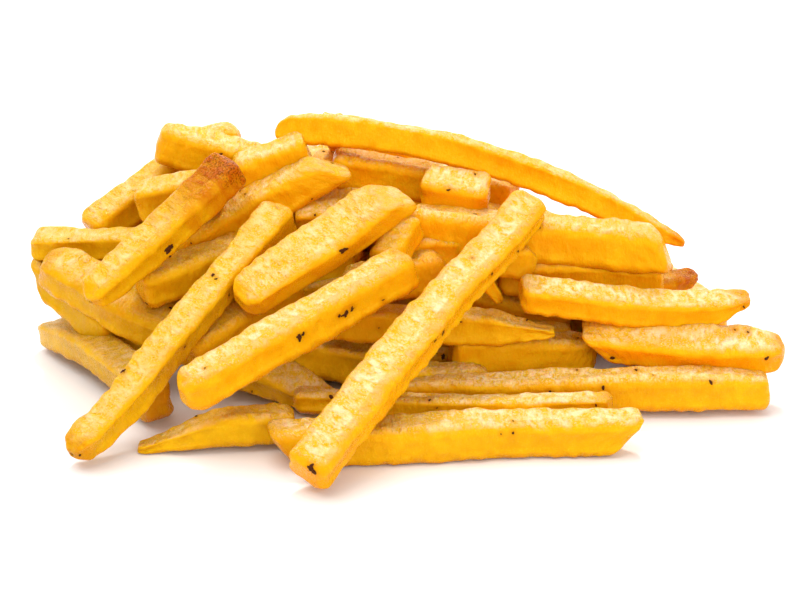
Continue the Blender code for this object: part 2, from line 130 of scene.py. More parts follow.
SHOWN = {
    "front_diagonal": fry((303, 472), (531, 202), (6, 41), (10, 7.6), roll=18, taper=(1.12, 0.95)),
    "front_second": fry((182, 397), (408, 264), (13, 31), (10.2, 9.1), roll=5, ends=("round", "cut")),
    "left_long": fry(
        (70, 455), (283, 212), (3.8, 38), (8.6, 7.8),
        roll=12, bow=(-1.5, 1), ends=("round", "cut"), taper=(0.85, 1),
    ),
    "middle_broad": fry((240, 305), (396, 195), (25, 42), (11.6, 7), roll=16, ends=("round", "under")),
    "browned_end": fry(
        (92, 305), (233, 163), (25, 50), (9.2, 7.4), roll=8, ends=("round", "cut"), taper=(0.88, 1.05),
    ),
    "slanting_top": fry((180, 255), (332, 165), (30, 46), (10.5, 9), ends=("cut", "under")),
    "blunt_left": fry((139, 287), (255, 250), (24, 31), (9.6, 9.4)),
    "top_left": fry((157, 141), (274, 170), (48, 43), (9, 9)),
    "top_left_rear": fry((165, 151), (240, 139), (41, 45), (10, 9), ends=("cut", "round")),
    "top_middle_rear": fry((236, 176), (308, 150), (43, 49)),
    "left_slope_upper": fry((92, 234), (192, 156), (27, 41.5), (9.5, 9)),
    "left_slope_lower": fry((98, 232), (180, 209), (26, 34), (9.5, 9), ends=("under", "cut")),
    "left_slope_short": fry((137, 202), (222, 186), (38, 41), (9, 9)),
    "left_pointing": fry((33, 243), (150, 244), (28, 29), (9, 6)),
    "left_round_end": fry((46, 264), (205, 345), (25, 13), (11.8, 8.8), roll=14, ends=("round", "cut")),
    "left_lowest": fry((43, 275), (118, 335), (22.5, 12), (9.5, 9), ends=("slant", "cut")),
    "floor_left": fry(
        (45, 330), (160, 410), (4.2, 5), (9.5, 8.4),
        roll=10, bow=(1.5, 3), ends=("round", "round"), taper=(0.72, 1),
    ),
    "floor_tapered": fry(
        (137, 437), (296, 421), (3.6, 5.4), (7.4, 7.6), bow=(0, 1), ends=("wedge", "cut"),
    ),
    "front_floor": fry((281, 444), (630, 429), (4.8, 4.8), (9.4, 9.4), ends=("slant", "slant")),
    "front_thin": fry(
        (293, 398), (613, 401), (10, 9), (7.8, 5), roll=-8, bow=(0, -1.2), taper=(1.05, 0.75),
    ),
    "right_floor": fry((400, 394), (768, 391), (5, 5), (9, 9), bow=(0, 1), taper=(0.75, 1)),
    "right_upper": fry(
        (594, 338), (785, 351), (13.2, 13.2), (9.6, 7.2), roll=20, ends=("slant", "round"),
    ),
    "right_third": fry(
        (519, 294), (748, 306), (22, 19.6), (9, 7.7), roll=12, bow=(0, -1.3), ends=("cut", "keel"),
    ),
    "right_thick": fry((410, 228), (666, 251), (32, 28), (9, 10.2), ends=("cut", "lean")),
    "right_under": fry((500, 272), (664, 279), (22, 21), (9, 8)),
    "right_brown_tip": fry((600, 296), (696, 283), (18, 19), (8, 6.5), ends=("cut", "keel")),
    "top_long": fry(
        (275, 129), (682, 250), (53.5, 27.4), (6.4, 6.8),
        roll=-12, bow=(0, 7.4), ends=("round", "keel"), taper=(1.05, 0.75),
    ),
    "top_behind": fry((330, 125), (350, 147), (51, 38), (6, 7.4)),
    "top_under": fry((332, 168), (432, 181), (45, 42), (9, 9)),
    "top_block": fry((422, 185), (490, 196), (42, 40), (9.8, 7.4), roll=22),
    "top_block_right": fry((450, 175), (514, 197), (38, 36), (8, 8)),
    "middle_pale_upper": fry((306, 208), (385, 205), (36.5, 37), (8, 7.6), roll=15),
    "middle_pale_lower": fry((294, 221), (370, 214), (35.5, 37), (7.4, 7), roll=15),
    "middle_stub": fry((385, 266), (410, 220), (26, 34), (8, 8)),
    "middle_round_end": fry((345, 290), (446, 270), (20, 24), (9, 9.8), ends=("cut", "round")),
    "middle_thin": fry((400, 250), (485, 252), (27, 27), (8, 7)),
    "centre_long": fry((325, 318), (554, 330), (17, 16), (8, 7.6), ends=("cut", "point")),
    "centre_floor": fry((405, 381), (490, 377), (6, 6), (9, 8), ends=("cut", "round")),
    "centre_right": fry((450, 350), (597, 353), (10, 10), (9, 9), ends=("cut", "round")),
    "centre_dark": fry((285, 350), (385, 368), (9, 8), (9, 9)),
    "front_low_left": fry((225, 366), (338, 389), (8, 8), (10.5, 8.4), roll=18, ends=("cut", "wedge")),
    "under_left_pair": fry((190, 358), (300, 290), (12, 22), (9, 9)),
    "stub_facing": fry((484, 268), (509, 293), (26, 22), (8, 8), ends=("cut", "wedge")),
    "stub_round": fry((468, 250), (537, 262), (28, 26), (8, 8), ends=("cut", "round")),
}
print(len(SHOWN), "fries show")

# %% [markdown]
# ## The back of the heap
#
# The photograph doesn't show the back. Fries that are tipped out slide down and lie round the heap, so
# here they lie in rings round a low core, and the rings shrink with height. A few long ones lean on the
# rings, and a few fill the heap over the front of the core.

# %% The fries behind
CORE_LENGTH = 100
CORE_DEPTH = 42
CORE_HEIGHT = 32
CORE_MIDDLE = (-4, 20)

# The back of the heap: how many fries lie in each layer, how far the rings reach and how high they
# would close, how unevenly the fries lie on them and how thick they are. LEANING is the long fries
# that lean on the rings, with their places as shares of the rings' reach. FILLING is the fries over
# the front of the core
BACK_COUNTS = (5, 5, 4, 4, 2)
BACK_MIDDLE = (-5, 18)
BACK_REACH = (70, 34)
BACK_TOP = 60
BACK_TURN = 18
BACK_LENGTHS = (48, 84)
BACK_SPARE = 9
BACK_SHIFT = 0.2
BACK_RISE = 0.12
BACK_WIDTHS = (8.4, 10.4)
BACK_THICKNESSES = (8.2, 9.8)
BACK_SPAN = (-82, 74)
BACK_LIMIT = 66
BACK_SEED = 12
LEANING = 5
LEANING_FOOT = 1.25
LEANING_HEAD = 0.45
LEANING_TURN = 0.7
FILLING = 4
FILLING_STEP = 26
FILLING_PLACE = 11


def back_fries():
    """The fries behind the ones that the photograph shows. Rings of them lie round the core and
    shrink with height, each fry turned a little from its ring. A few long ones lean on the rings, and
    others fill the heap over the front of the core.
    Returns left ends, right ends and sides."""
    draw = np.random.default_rng(BACK_SEED)
    found = []
    for layer, count in enumerate(BACK_COUNTS):
        height = FRY_SIDE * (layer + 0.5)
        share = math.sqrt(1 - height / BACK_TOP)
        for k in range(count):
            angle = math.pi * (k + 0.5 + draw.uniform(-BACK_SHIFT, BACK_SHIFT)) / count
            heading = math.atan2(BACK_REACH[1] * math.cos(angle), -BACK_REACH[0] * math.sin(angle))
            heading += math.radians(draw.uniform(-BACK_TURN, BACK_TURN))
            half = draw.uniform(*BACK_LENGTHS) / 2
            way = np.array([math.cos(heading), math.sin(heading), draw.uniform(-BACK_RISE, BACK_RISE)])
            room = max(BACK_REACH[0] * share + BACK_SPARE - half * abs(way[0]), 0)
            middle = on_ring(angle, share, height)
            middle[0] = BACK_MIDDLE[0] + np.clip(middle[0] - BACK_MIDDLE[0], -room, room)
            found.append((middle - half * way, middle + half * way))
    for k in range(LEANING):
        angle = math.pi * (k + 1) / (LEANING + 1)
        foot = on_ring(angle, LEANING_FOOT, FRY_SIDE / 2)
        turned = angle + draw.uniform(-LEANING_TURN, LEANING_TURN)
        head = on_ring(turned, LEANING_HEAD, BACK_TOP * (1 - LEANING_HEAD))
        found.append((foot, head) if foot[0] < head[0] else (head, foot))
    for k in range(FILLING):
        across = CORE_MIDDLE[0] + FILLING_STEP * (k - (FILLING - 1) / 2)
        middle = np.array([across, FILLING_PLACE, CORE_HEIGHT])
        heading = math.radians(BACK_TURN) * (-1) ** k
        way = np.array([math.cos(heading), math.sin(heading), 0]) * BACK_LENGTHS[0] / 2
        found.append((middle - way, middle + way))
    sides = [(draw.uniform(*BACK_WIDTHS), draw.uniform(*BACK_THICKNESSES)) for _ in found]
    return [(*ends, side) for ends, side in zip(found, sides)]


def on_ring(angle, share, height):
    """A point of the rings at the back: angle 0 is on the right and a quarter turn is at the back."""
    return np.array([
        BACK_MIDDLE[0] + BACK_REACH[0] * share * math.cos(angle),
        BACK_MIDDLE[1] + BACK_REACH[1] * share * math.sin(angle),
        height,
    ])


print(len(back_fries()), "fries lie behind them")

# %% [markdown]
# ## How the heap settles
#
# Blender's rigid bodies could drop the fries, but they would end up where the photograph doesn't show
# them. So a loop of small steps lets them sink and pushes them apart, holds the ones that the
# photograph shows on their lines of sight, and keeps the ones behind under the heap's outline.

# %% Under the outline
# The heap's outline in the photograph, as pixels across and down, and how far below it the back stays
SKYLINE = (
    (20, 60, 100, 158, 190, 222, 245, 275, 300, 480, 530, 545, 640, 668, 690, 752, 790),
    (262, 235, 200, 124, 132, 124, 142, 134, 112, 140, 185, 224, 226, 262, 290, 302, 335),
)
SKYLINE_CLEAR = 24


def above_skyline(point):
    """How many millimetres these points stand above the heap's outline in the photograph."""
    seen = point - CAMERA
    scale = PIXELS_PER_MM * VIEW_DISTANCE / -(seen @ TO_CAMERA)
    across = PICTURE_MIDDLE[0] + seen[:, 0] * scale
    down = PICTURE_MIDDLE[1] - (seen @ UPWARD) * scale
    return np.clip(np.interp(across, *SKYLINE) + SKYLINE_CLEAR - down, 0, None) / scale


print("a point 70 mm up stands", above_skyline(np.array([[0, 0, 70.0]])).round(1)[0], "mm above it")

# %% Where two fries come closest
def closest(p1, q1, p2, q2):
    """How far along two straight axes, from 0 to 1, they come closest."""
    d1, d2, r = q1 - p1, q2 - p2, p1 - p2
    a, e, f = (d1 * d1).sum(-1), (d2 * d2).sum(-1), (d2 * r).sum(-1)
    b, c = (d1 * d2).sum(-1), (d1 * r).sum(-1)
    spread = np.maximum(a * e - b * b, 1e-9)
    s = np.clip((b * f - c * e) / spread, 0, 1)
    t = np.clip((b * s + f) / e, 0, 1)
    s = np.clip((b * t - c) / a, 0, 1)
    return s, t


crossed = np.array([[0, 0, 0], [10, 0, 0], [5, -5, 3], [5, 5, 3]], dtype=float)
print("two crossed fries come closest this far along:", *closest(*crossed))

# %% Out of each other
# How far two fries run into each other where they touch, in millimetres
BITE = 0.5

# How the heap settles. SHOWN_WEIGHT says how much less a fry that the photograph shows gives way
# than one at the back, and AWAY is the way in which it pushes those back
SETTLE_STEPS = 800
SINK = 0.03
SOFT = 0.4
SIGHT_HOLD = 0.9
KEEP = 0.01
ON_TABLE = 7
SHOWN_WEIGHT = 4
AWAY = (0, -0.5, 0.2)
CHECKED_PLACES = (0.05, 0.3, 0.5, 0.7, 0.95)


def settled(left, right, half, sight):
    """Lets the fries sink until they lie on each other, on the core and on the table.

    A pair of fries that runs into each other is pushed apart where their axes come closest. A fry
    that the photograph shows only moves nearer to the camera or further away, along its two lines
    of sight, and an end that it shows on the table stays there.
    """
    shown = len(sight[0])
    length = np.linalg.norm(right - left, axis=1)
    first = left.copy(), right.copy()
    upright = np.array([0, 0, 1.0])
    weight = np.where(np.arange(len(left)) < shown, SHOWN_WEIGHT, 1.0)
    a, b = np.triu_indices(len(left), 1)
    share_a = (weight[b] / (weight[a] + weight[b]))[:, None]
    s, t = closest(left[a], right[a], left[b], right[b])
    nearest_a = left[a] + s[:, None] * (right - left)[a]
    nearest_b = left[b] + t[:, None] * (right - left)[b]
    ahead = (nearest_a - nearest_b) @ TO_CAMERA
    both = ((a < shown) & (b < shown))[:, None]
    one = ((a < shown) & (b >= shown))[:, None]
    aim = np.where(both, np.sign(ahead)[:, None] * TO_CAMERA, np.where(one, np.array(AWAY), 0))
    for _ in range(SETTLE_STEPS):
        for ends in (left, right):
            ends[:, 2] -= SINK
        s, t = (x[:, None] for x in closest(left[a], right[a], left[b], right[b]))
        gap = left[a] + s * (right - left)[a] - left[b] - t * (right - left)[b]
        wide = np.linalg.norm(gap, axis=1, keepdims=True)
        way = gap / np.maximum(wide, 0.5) + 2 * aim
        way /= np.maximum(np.linalg.norm(way, axis=1, keepdims=True), 0.01)
        push = SOFT * np.clip((half[a] + half[b] - BITE)[:, None] - wide, 0, None) * way
        for ends, along in ((left, 0), (right, 1)):
            np.add.at(ends, a, push * share_a * np.abs(1 - along - s))
            np.add.at(ends, b, -push * (1 - share_a) * np.abs(1 - along - t))
        for along in CHECKED_PLACES:
            over = above_skyline((left + along * (right - left))[shown:])[:, None] * SOFT * upright
            left[shown:] -= over * (1 - along)
            right[shown:] -= over * along
            out = pushed_from_core(left + along * (right - left), half)
            left += out * (1 - along) * SOFT
            right += out * along * SOFT
        stretch = (right - left) * (1 - length / np.linalg.norm(right - left, axis=1))[:, None] / 2
        left += stretch * 0.5
        right -= stretch * 0.5
        for ends, ways, start in zip((left, right), sight, first):
            seen = ends[:shown]
            reach = ((seen - CAMERA) * ways).sum(1, keepdims=True)
            seen += SIGHT_HOLD * (CAMERA + reach * ways - seen)
            ends += KEEP * (start - ends)
            on_table = start[:shown, 2] < ON_TABLE
            seen[on_table] = start[:shown][on_table]
            ends[shown:, 0] = np.clip(ends[shown:, 0], *BACK_SPAN)
            ends[shown:, 1] = np.minimum(ends[shown:, 1], BACK_LIMIT)
            ends[:, 2] = np.maximum(ends[:, 2], half)
    return left, right


def pushed_from_core(point, half):
    """How far each of these points has to move to lie half a fry outside the core."""
    middle = np.array([*CORE_MIDDLE, 0])
    reach = np.array([CORE_LENGTH / 2, CORE_DEPTH / 2, CORE_HEIGHT]) + half[:, None]
    from_middle = point - middle
    ratio = np.linalg.norm(from_middle / reach, axis=1, keepdims=True)
    return from_middle * np.clip(1 / np.maximum(ratio, 0.3) - 1, 0, 0.4)


over_core = np.array([[*CORE_MIDDLE, CORE_HEIGHT]])
risen = pushed_from_core(over_core, np.array([FRY_SIDE / 2]))[0, 2]
print("a fry that lies in the core's top has to rise", risen.round(1), "mm")

# %% Every fry in its place
# Moves the middle of the heap's box onto the origin, in millimetres
HEAP_SHIFT = (-0.2, -5.2, 0)

# The core's base is the heap's lowest face, and the fries end this many metres above it
OVER_TABLE = 0.0003


def laid_out():
    """Every fry of the heap where it lies: its two ends in millimetres, and the rest of its form."""
    rows = list(SHOWN.values())
    back = back_fries()
    left = np.array([seen_at(f.left, f.rise[0]) for f in rows] + [b[0] for b in back])
    right = np.array([seen_at(f.right, f.rise[1]) for f in rows] + [b[1] for b in back])
    sides = [f.side for f in rows] + [b[2] for b in back]
    half = np.array([sum(side) / 4 for side in sides])
    sight_left = np.array([line_of_sight(f.left) for f in rows])
    sight_right = np.array([line_of_sight(f.right) for f in rows])
    left, right = settled(left, right, half, (sight_left, sight_right))
    forms = [(f.roll, f.bow, f.ends, f.taper) for f in rows] + [(0, (0, 0), PLAIN, EVEN)] * len(back)
    return [(left[k], right[k], sides[k], *forms[k]) for k in range(len(sides))]


forms = laid_out()
names = list(SHOWN) + [f"back_{k}" for k in range(len(SHOWN), len(forms))]
print(len(forms), "fries have settled")

# %% [markdown]
# ## The camera
#
# A long lens keeps the far fries nearly as large as the near ones, as in the photograph. It follows
# from the same numbers: 4.35 pixels to a millimetre, 620 mm away and 23 degrees above the table.

# %% The camera
SENSOR = 36
PICTURE_WIDTH = 2 * PICTURE_MIDDLE[0]
eye = CAMERA + HEAP_SHIFT

camera = bpy.data.objects.new("camera", bpy.data.cameras.new("camera"))
bpy.context.scene.collection.objects.link(camera)
camera.data.sensor_width = SENSOR
camera.data.lens = SENSOR * PIXELS_PER_MM * VIEW_DISTANCE / PICTURE_WIDTH
camera.data.clip_start = 0.01
camera.location = eye * MM
camera.rotation_euler = (math.pi / 2 - VIEW_ELEVATION, 0, 0)
bpy.context.scene.camera = camera
print("lens", round(camera.data.lens, 1), "mm")

# %% [markdown]
# ## Unevenness
#
# No two fries are alike, and none is quite straight. Smooth noise gives that: random numbers on a
# grid in space, blended between its points. One function makes it for all points of a fry at once.
# The grid's size in millimetres says how wide the bumps are.

# %% Smooth noise
NOISE_CELLS = 32
NOISE_SEED = 7
noise_grid = np.random.default_rng(NOISE_SEED).uniform(-1, 1, (NOISE_CELLS,) * 3)


def uneven(points, width, stretch=(1, 1, 1)):
    """Smooth noise from -1 to 1 at these points, its bumps this wide and stretched along each axis."""
    cells = points / (width * np.array(stretch))
    whole = np.floor(cells).astype(int)
    part = cells - whole
    part = part * part * (3 - 2 * part)
    total = np.zeros(len(points))
    for corner in np.ndindex(2, 2, 2):
        share = np.where(corner, part, 1 - part).prod(axis=1)
        total += share * noise_grid[tuple(((whole + corner) % NOISE_CELLS).T)]
    return total


print("noise at three places:", uneven(np.eye(3) * 4.2, 3).round(2))

# %% [markdown]
# ## The shape of a fry
#
# A real fry starts as a square stick of potato. In hot fat its faces sink a little while the edges
# stay proud, and the crust blisters. A box with a bevel and a displacement would do for one fry. Here a
# fry is a skin of rings instead: a rounded square is carried from the middle of one cut end, over the
# rim, along the body and over the other rim. Each point knows its face, so a face can sink and an edge
# can stay proud, and the rings are close enough for bumps of 2 mm.

# %% The rounded square
CORNER_STEPS = 5


def square(corner, face_steps):
    """Points round a square with rounded corners. Returns where they are, which way they face, and
    how far across their face they lie, from -1 to 1."""
    flat = 1 - corner
    across = np.linspace(-flat, flat, face_steps, endpoint=False)
    turn = np.linspace(0, math.pi / 2, CORNER_STEPS, endpoint=False)
    points = np.vstack([
        np.column_stack([np.ones(face_steps), across]),
        np.column_stack([flat + corner * np.cos(turn), flat + corner * np.sin(turn)]),
    ])
    facing = np.vstack([
        np.column_stack([np.ones(face_steps), np.zeros(face_steps)]),
        np.column_stack([np.cos(turn), np.sin(turn)]),
    ])
    place = np.concatenate([across, np.ones(CORNER_STEPS)])
    quarter = np.array([[0, 1], [-1, 0]])
    turns = [np.linalg.matrix_power(quarter, k) for k in range(4)]
    points, facing = (np.vstack([rows @ q for q in turns]) for rows in (points, facing))
    return points, facing, np.tile(place, 4)


print(len(square(0.28, 8)[0]), "points round a fry")

# %% The rings
# The innermost ring of a cut end, as a share of the fry's size, and how close the rings are on an end
# and round its rim, where they need to be closer than on the body
INNERMOST = 0.15
END_DENSITY, RIM_DENSITY = 0.8, 2


def rings(length, half, spacing, rims):
    """The rings of a fry: how far along each lies, its size, and how far it faces back or forward."""
    sides = []
    for rim in rims:
        end_rings = max(int(half / spacing * END_DENSITY), 2)
        rim_rings = max(int(rim / spacing * RIM_DENSITY), 3)
        flat = np.linspace(INNERMOST, 1 - rim / half, end_rings, endpoint=False)
        turn = np.linspace(0, math.pi / 2, rim_rings, endpoint=False)
        sides.append((
            np.concatenate([0 * flat, rim * (1 - np.cos(turn))]),
            np.concatenate([flat, 1 - rim / half * (1 - np.sin(turn))]),
            np.concatenate([0 * flat + 1, np.cos(turn)]),
        ))
    body = np.linspace(rims[0], length - rims[1], max(int((length - sum(rims)) / spacing), 4))
    (x0, size0, face0), (x1, size1, face1) = sides
    along = np.concatenate([x0, body, (length - x1)[::-1]])
    size = np.concatenate([size0, np.ones(len(body)), size1[::-1]])
    return along, size, np.concatenate([-face0, np.zeros(len(body)), face1[::-1]])


print(len(rings(60, FRY_SIDE / 2, 0.7, (1, 1))[0]), "rings in a fry 60 mm long")

# %% [markdown]
# An end is cut square, slanting, to a wedge or to a keel, and some are rounded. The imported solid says
# where, and the crust follows it with a finer rim: about 2 mm on a cut end and 4 mm on a rounded one.

# %% The ends
CUT_RIM = 2.3
ROUND_RIM = 3.8

# How far the top of a slanting end lies before its bottom, and how far in the slant fades out
SHEAR = {"slant": -8.0, "under": 8.0, "lean": 5.0}
SHEAR_REACH = 16

# The shares of the width, the top and the bottom that are left at a tip, each with how many millimetres
# in it is whole again
WHOLE = (1, 1)
END_SHAPES = {
    "wedge": ((0.55, 14), (-0.35, 22), WHOLE),
    "keel": ((0.7, 8), WHOLE, (-0.3, 10)),
    "point": ((0.35, 16), (0.3, 18), (0.3, 18)),
    "round": ((0.86, 7), (0.9, 5), WHOLE),
}


def ramp(distance, reach):
    """Rises smoothly from 0 at the end of a fry to 1 this far in."""
    x = np.clip(distance / reach, 0, 1)
    return x * x * (3 - 2 * x)


def end_shape(kind, distance):
    """The shares of the width, the top and the bottom that are left this far from an end."""
    shape = END_SHAPES.get(kind, (WHOLE, WHOLE, WHOLE))
    return [tip + (1 - tip) * ramp(distance, reach) for tip, reach in shape]


print("a pointed tip keeps", end_shape("point", np.zeros(1))[0][0], "of its width")

# %% [markdown]
# The relief has four parts. A face sinks by a third of a millimetre, the whole skin swells and dips
# over 8 mm, blisters of 1.5 to 3 mm lie on that, and the edges are ragged. The axis sways by less than
# a millimetre and twists by a few degrees, so that no fry looks machined.

# %% The relief
# How far each part goes, and how wide its bumps are, in millimetres
SINK_OF_FACE, SINK_WIDTH = 0.38, 12
SWELL, SWELL_WIDTH = 0.4, 8
BLISTER, BLISTER_WIDTH, SMALL_BLISTER = 0.2, 2.5, 1.5
RAGGED, RAGGED_WIDTH = 0.32, 1.9
DIMPLE = 0.3


def relief_of(inner, place, size, facing, edge):
    """How far the crust stands out at each point. A number added to the points picks another part of
    the noise, so that the parts of the relief don't go together."""
    relief = SWELL * uneven(inner, SWELL_WIDTH, (1.5, 1, 1))
    relief += BLISTER * uneven(inner, BLISTER_WIDTH, (0.8, 1.3, 1.3))
    relief += BLISTER / 2 * uneven(inner, SMALL_BLISTER)
    relief += RAGGED * edge * uneven(inner + 50, RAGGED_WIDTH)
    sinking = SINK_OF_FACE * (1 - place ** 2) ** 2 * (1 - facing ** 2)
    relief -= sinking * (0.8 + uneven(inner + 90, SINK_WIDTH))
    return relief - DIMPLE * (np.abs(facing) > 0.99) * (1 - size)


spots = np.random.default_rng(3).uniform(0, 90, (500, 3))
zero = np.zeros(len(spots))
tried = relief_of(spots, zero, zero + 1, zero, zero)
print("the middle of a face lies from", tried.min().round(2), "to", tried.max().round(2), "mm")

# %% The crust of one fry
# The rounding of a fry's corners, as a share of half its side, how close its points are across a face,
# how far off its noise may start, and how far its axis sways and how much it twists and swells
CORNERS = (0.36, 0.56)
FACE_DENSITY = 1.3
NOISE_START = (0, 200)
SWAY, SWAY_WIDTH = 0.9, 24
TWIST, TWIST_WIDTH = math.radians(8), 28
FATNESS, FATNESS_WIDTH = 0.1, 18

Crust = namedtuple("Crust", "name places inner edge ends rings columns along round")


def axes_of(left, right, roll):
    """The directions along a fry, across it and up from it, once it is turned round its length."""
    way = (right - left) / np.linalg.norm(right - left)
    across = np.cross([0, 0, 1], way)
    across /= np.linalg.norm(across)
    up = np.cross(way, across)
    cos, sin = math.cos(math.radians(roll)), math.sin(math.radians(roll))
    return way, cos * across + sin * up, cos * up - sin * across


def crusted(name, form, spacing, seed):
    """One fry as rings of points in millimetres, with what its finish needs to know at each point."""
    left, right, side, roll, bow, ends, taper = form
    draw = np.random.default_rng(seed)
    length = np.linalg.norm(right - left)
    half = sum(side) / 4

    # A plain bar: x along it, u across it and v up it from -1 to 1, and which way each point faces
    rims = [ROUND_RIM if kind == "round" else CUT_RIM for kind in ends]
    outline, outward, place = square(draw.uniform(*CORNERS), int(FACE_DENSITY * half / spacing))
    x, size, facing = (np.repeat(r, len(outline)) for r in rings(length, half, spacing, rims))
    count = len(x) // len(outline)
    u, v = (np.tile(outline, (count, 1)) * size[:, None]).T
    out_u, out_v = (np.tile(outward, (count, 1)) * np.sqrt(1 - facing ** 2)[:, None]).T
    place = np.tile(place, count)

    # Its relief
    inner = np.column_stack([x, u * side[0] / 2, v * side[1] / 2]) + draw.uniform(*NOISE_START, 3)
    line = np.column_stack([x, 0 * x, 0 * x]) + draw.uniform(*NOISE_START, 3)
    rim = (np.abs(facing) > 0.05) * (size > 0.7)
    edge = np.clip(np.clip(np.abs(place) ** 6, 0, 1) * (1 - np.abs(facing)) + rim, 0, 1)
    relief = relief_of(inner, place, size, facing, edge)

    # Its ends, its taper and its twist, which turn u and v into y and z in millimetres
    wide_a, top_a, bottom_a = end_shape(ends[0], x)
    wide_b, top_b, bottom_b = end_shape(ends[1], length - x)
    top, bottom = np.minimum(top_a, top_b), np.minimum(bottom_a, bottom_b)
    lift = (v + 1) / 2
    rise = lift * (top + bottom) - bottom
    t = x / length
    thick = 1 + (taper[0] - 1) * (1 - t) ** 2 + (taper[1] - 1) * t ** 2
    thick += FATNESS * uneven(line, FATNESS_WIDTH)
    lean = ((lift - 0.5) * SHEAR.get(ends[0], 0) * (1 - ramp(x, SHEAR_REACH))
            - (lift - 0.5) * SHEAR.get(ends[1], 0) * (1 - ramp(length - x, SHEAR_REACH)))
    y = u * wide_a * wide_b * thick * side[0] / 2 + relief * out_u
    z = rise * thick * side[1] / 2 + relief * out_v
    twist = TWIST * uneven(line + 30, TWIST_WIDTH)
    y, z = y * np.cos(twist) - z * np.sin(twist), y * np.sin(twist) + z * np.cos(twist)

    # Its place in the heap, bent and swaying
    arch = 4 * t * (1 - t)
    way, across, up = axes_of(left, right, roll)
    places = (left + np.array(HEAP_SHIFT) + np.outer(x + lean + relief * facing, way)
              + np.outer(y + arch * bow[0] + SWAY * uneven(line + 60, SWAY_WIDTH), across)
              + np.outer(z + arch * bow[1] + SWAY * uneven(line + 90, SWAY_WIDTH), up))
    places[:, 2] = np.maximum(places[:, 2], OVER_TABLE / MM)

    # How far along and round the skin its rings and columns lie, for the UV map
    steps = np.linalg.norm(np.diff(np.column_stack([x, size * half])[::len(outline)], axis=0), axis=1)
    around = np.linalg.norm(np.diff(np.vstack([outline, outline[:1]]), axis=0), axis=1) * half
    return Crust(name, places, inner, edge, np.column_stack([x, length - x]), count, len(outline),
                 np.concatenate([[0], steps.cumsum()]), np.concatenate([[0], around.cumsum()]))


one = crusted("trial", forms[0], 0.7, 1)
print(one.rings, "rings of", one.columns, "points")

# %% All the fries
FINE, COARSE = 0.7, 1.0
CRUST_SEED = 100

crusts = [crusted(name, form, FINE if name in SHOWN else COARSE, CRUST_SEED + k)
          for k, (name, form) in enumerate(zip(names, forms))]
print(sum(2 * c.rings * c.columns for c in crusts), "triangles of crust")

# %% [markdown]
# ## The inside of the heap
#
# Between the outer fries the eye meets more fries, not a filling. The solid has a plain dome there.
# So shorter fries lie round a smaller dome like staves round a barrel, up to the solid's dome, and
# the dome itself is lumpy, coloured a dark orange brown that is painted shade, and shows only at the
# bottom of the deepest gaps.

# %% Fries round the core
# How far from the core's middle a stave starts and ends, how deep in the core its two ends lie, and
# how far it is skewed and rolled
STAVES = 9
STAVE_SIDE = (9.0, 8.6)
STAVE_REACH = (6, 44)
STAVE_DEPTHS = (4, 2)
STAVE_SKEW = 0.12
STAVE_ROLL = 15
STAVE_SPACING = 1.2
STAVE_SEED = 300


def on_core(x, angle, depth):
    """A point of the core, x along it and this far under its surface. The angle is 0 in front and a
    half turn at the back."""
    share = math.sqrt(1 - (2 * x / CORE_LENGTH) ** 2)
    return np.array([CORE_MIDDLE[0] + x,
                     CORE_MIDDLE[1] - (CORE_DEPTH / 2 * share - depth) * math.cos(angle),
                     max((CORE_HEIGHT * share - depth) * math.sin(angle), STAVE_SIDE[1] / 2)])


staves = []
for k in range(STAVES):
    angle = math.pi * (k + 0.5) / STAVES
    for way in (-1, 1):
        near = on_core(way * STAVE_REACH[0], angle, STAVE_DEPTHS[0])
        far = on_core(way * STAVE_REACH[1], angle + STAVE_SKEW * way, STAVE_DEPTHS[1])
        ends = (far, near) if way < 0 else (near, far)
        form = (*ends, STAVE_SIDE, STAVE_ROLL * way, (0, 0), PLAIN, EVEN)
        staves.append(crusted(f"stave_{k}_{way}", form, STAVE_SPACING, STAVE_SEED + 2 * k + way))
print(len(staves), "short fries round the core")

# %% The core itself
# How far inside the solid's core this one lies, and how high and wide its lumps are
CORE_INSET = (8, 8, 9)
LUMP_SHARE, LUMP_WIDTH = 0.07, 7


def core_mesh():
    """A lumpy dome under the staves."""
    bm = bmesh.new()
    bmesh.ops.create_icosphere(bm, subdivisions=6, radius=1)
    bmesh.ops.delete(bm, geom=[v for v in bm.verts if v.co.z < -0.02], context="VERTS")
    bmesh.ops.holes_fill(bm, edges=[e for e in bm.edges if e.is_boundary], sides=0)
    reach = np.array([CORE_LENGTH / 2, CORE_DEPTH / 2, CORE_HEIGHT]) - CORE_INSET
    places = np.array([v.co for v in bm.verts]) * reach
    places *= (1 + LUMP_SHARE * uneven(places, LUMP_WIDTH, (2.5, 1, 1)))[:, None]
    places += np.array([*CORE_MIDDLE, 0]) + HEAP_SHIFT
    for vert, place in zip(bm.verts, places):
        vert.co = Vector((place[0], place[1], max(place[2], OVER_TABLE / MM))) * MM
    mesh = bpy.data.meshes.new("heap_core")
    bm.to_mesh(mesh)
    bm.free()
    return mesh


core = bpy.data.objects.new("heap_core", core_mesh())
bpy.context.scene.collection.objects.link(core)
print(len(core.data.polygons), "faces in the core")

# %% [markdown]
# ## Charred flecks
#
# Small dark flecks sit on many of the fries: bits of old crumb from the fat, and spots of skin. Each
# one is a flattened lump, and a large one is a cluster of them. The ones that the photograph shows are
# found by looking through the camera at a pixel and taking the first fry in the way, so they lie on
# the crust, also when they are seen from the side.

